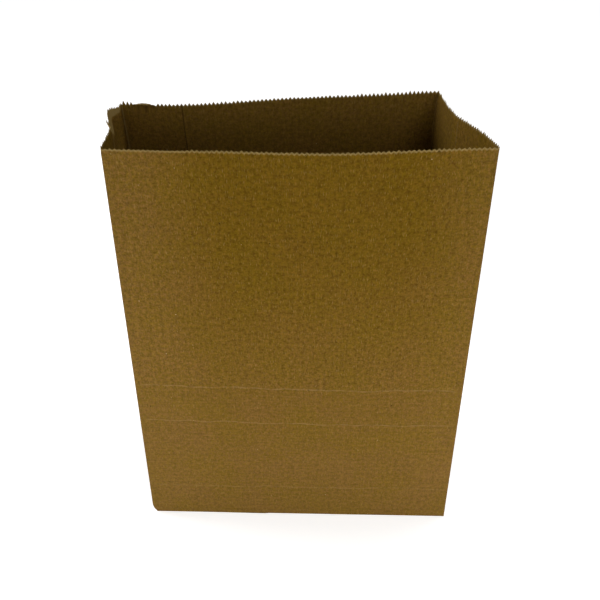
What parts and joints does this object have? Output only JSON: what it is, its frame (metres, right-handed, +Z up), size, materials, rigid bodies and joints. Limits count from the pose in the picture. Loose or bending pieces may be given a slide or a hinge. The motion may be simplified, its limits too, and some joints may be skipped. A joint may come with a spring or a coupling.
{
  "type": "paper lunch bag",
  "caption": "Open brown kraft paper lunch bag with gusseted sides, a serrated mouth, a lapped back seam and a folded block bottom.",
  "frame": {"origin": "centre of the base rectangle, on the underside of the outer bottom flap", "axes": "+Z up through the mouth, -Y out of the front panel, +X to the right of the front panel"},
  "size_m": [0.1725, 0.0898, 0.2093],
  "materials": {
    "kraft_paper": "matte"
  },
  "bodies": {
    "root": {"paper_bag": "kraft_paper"}
  },
  "joints": []
}
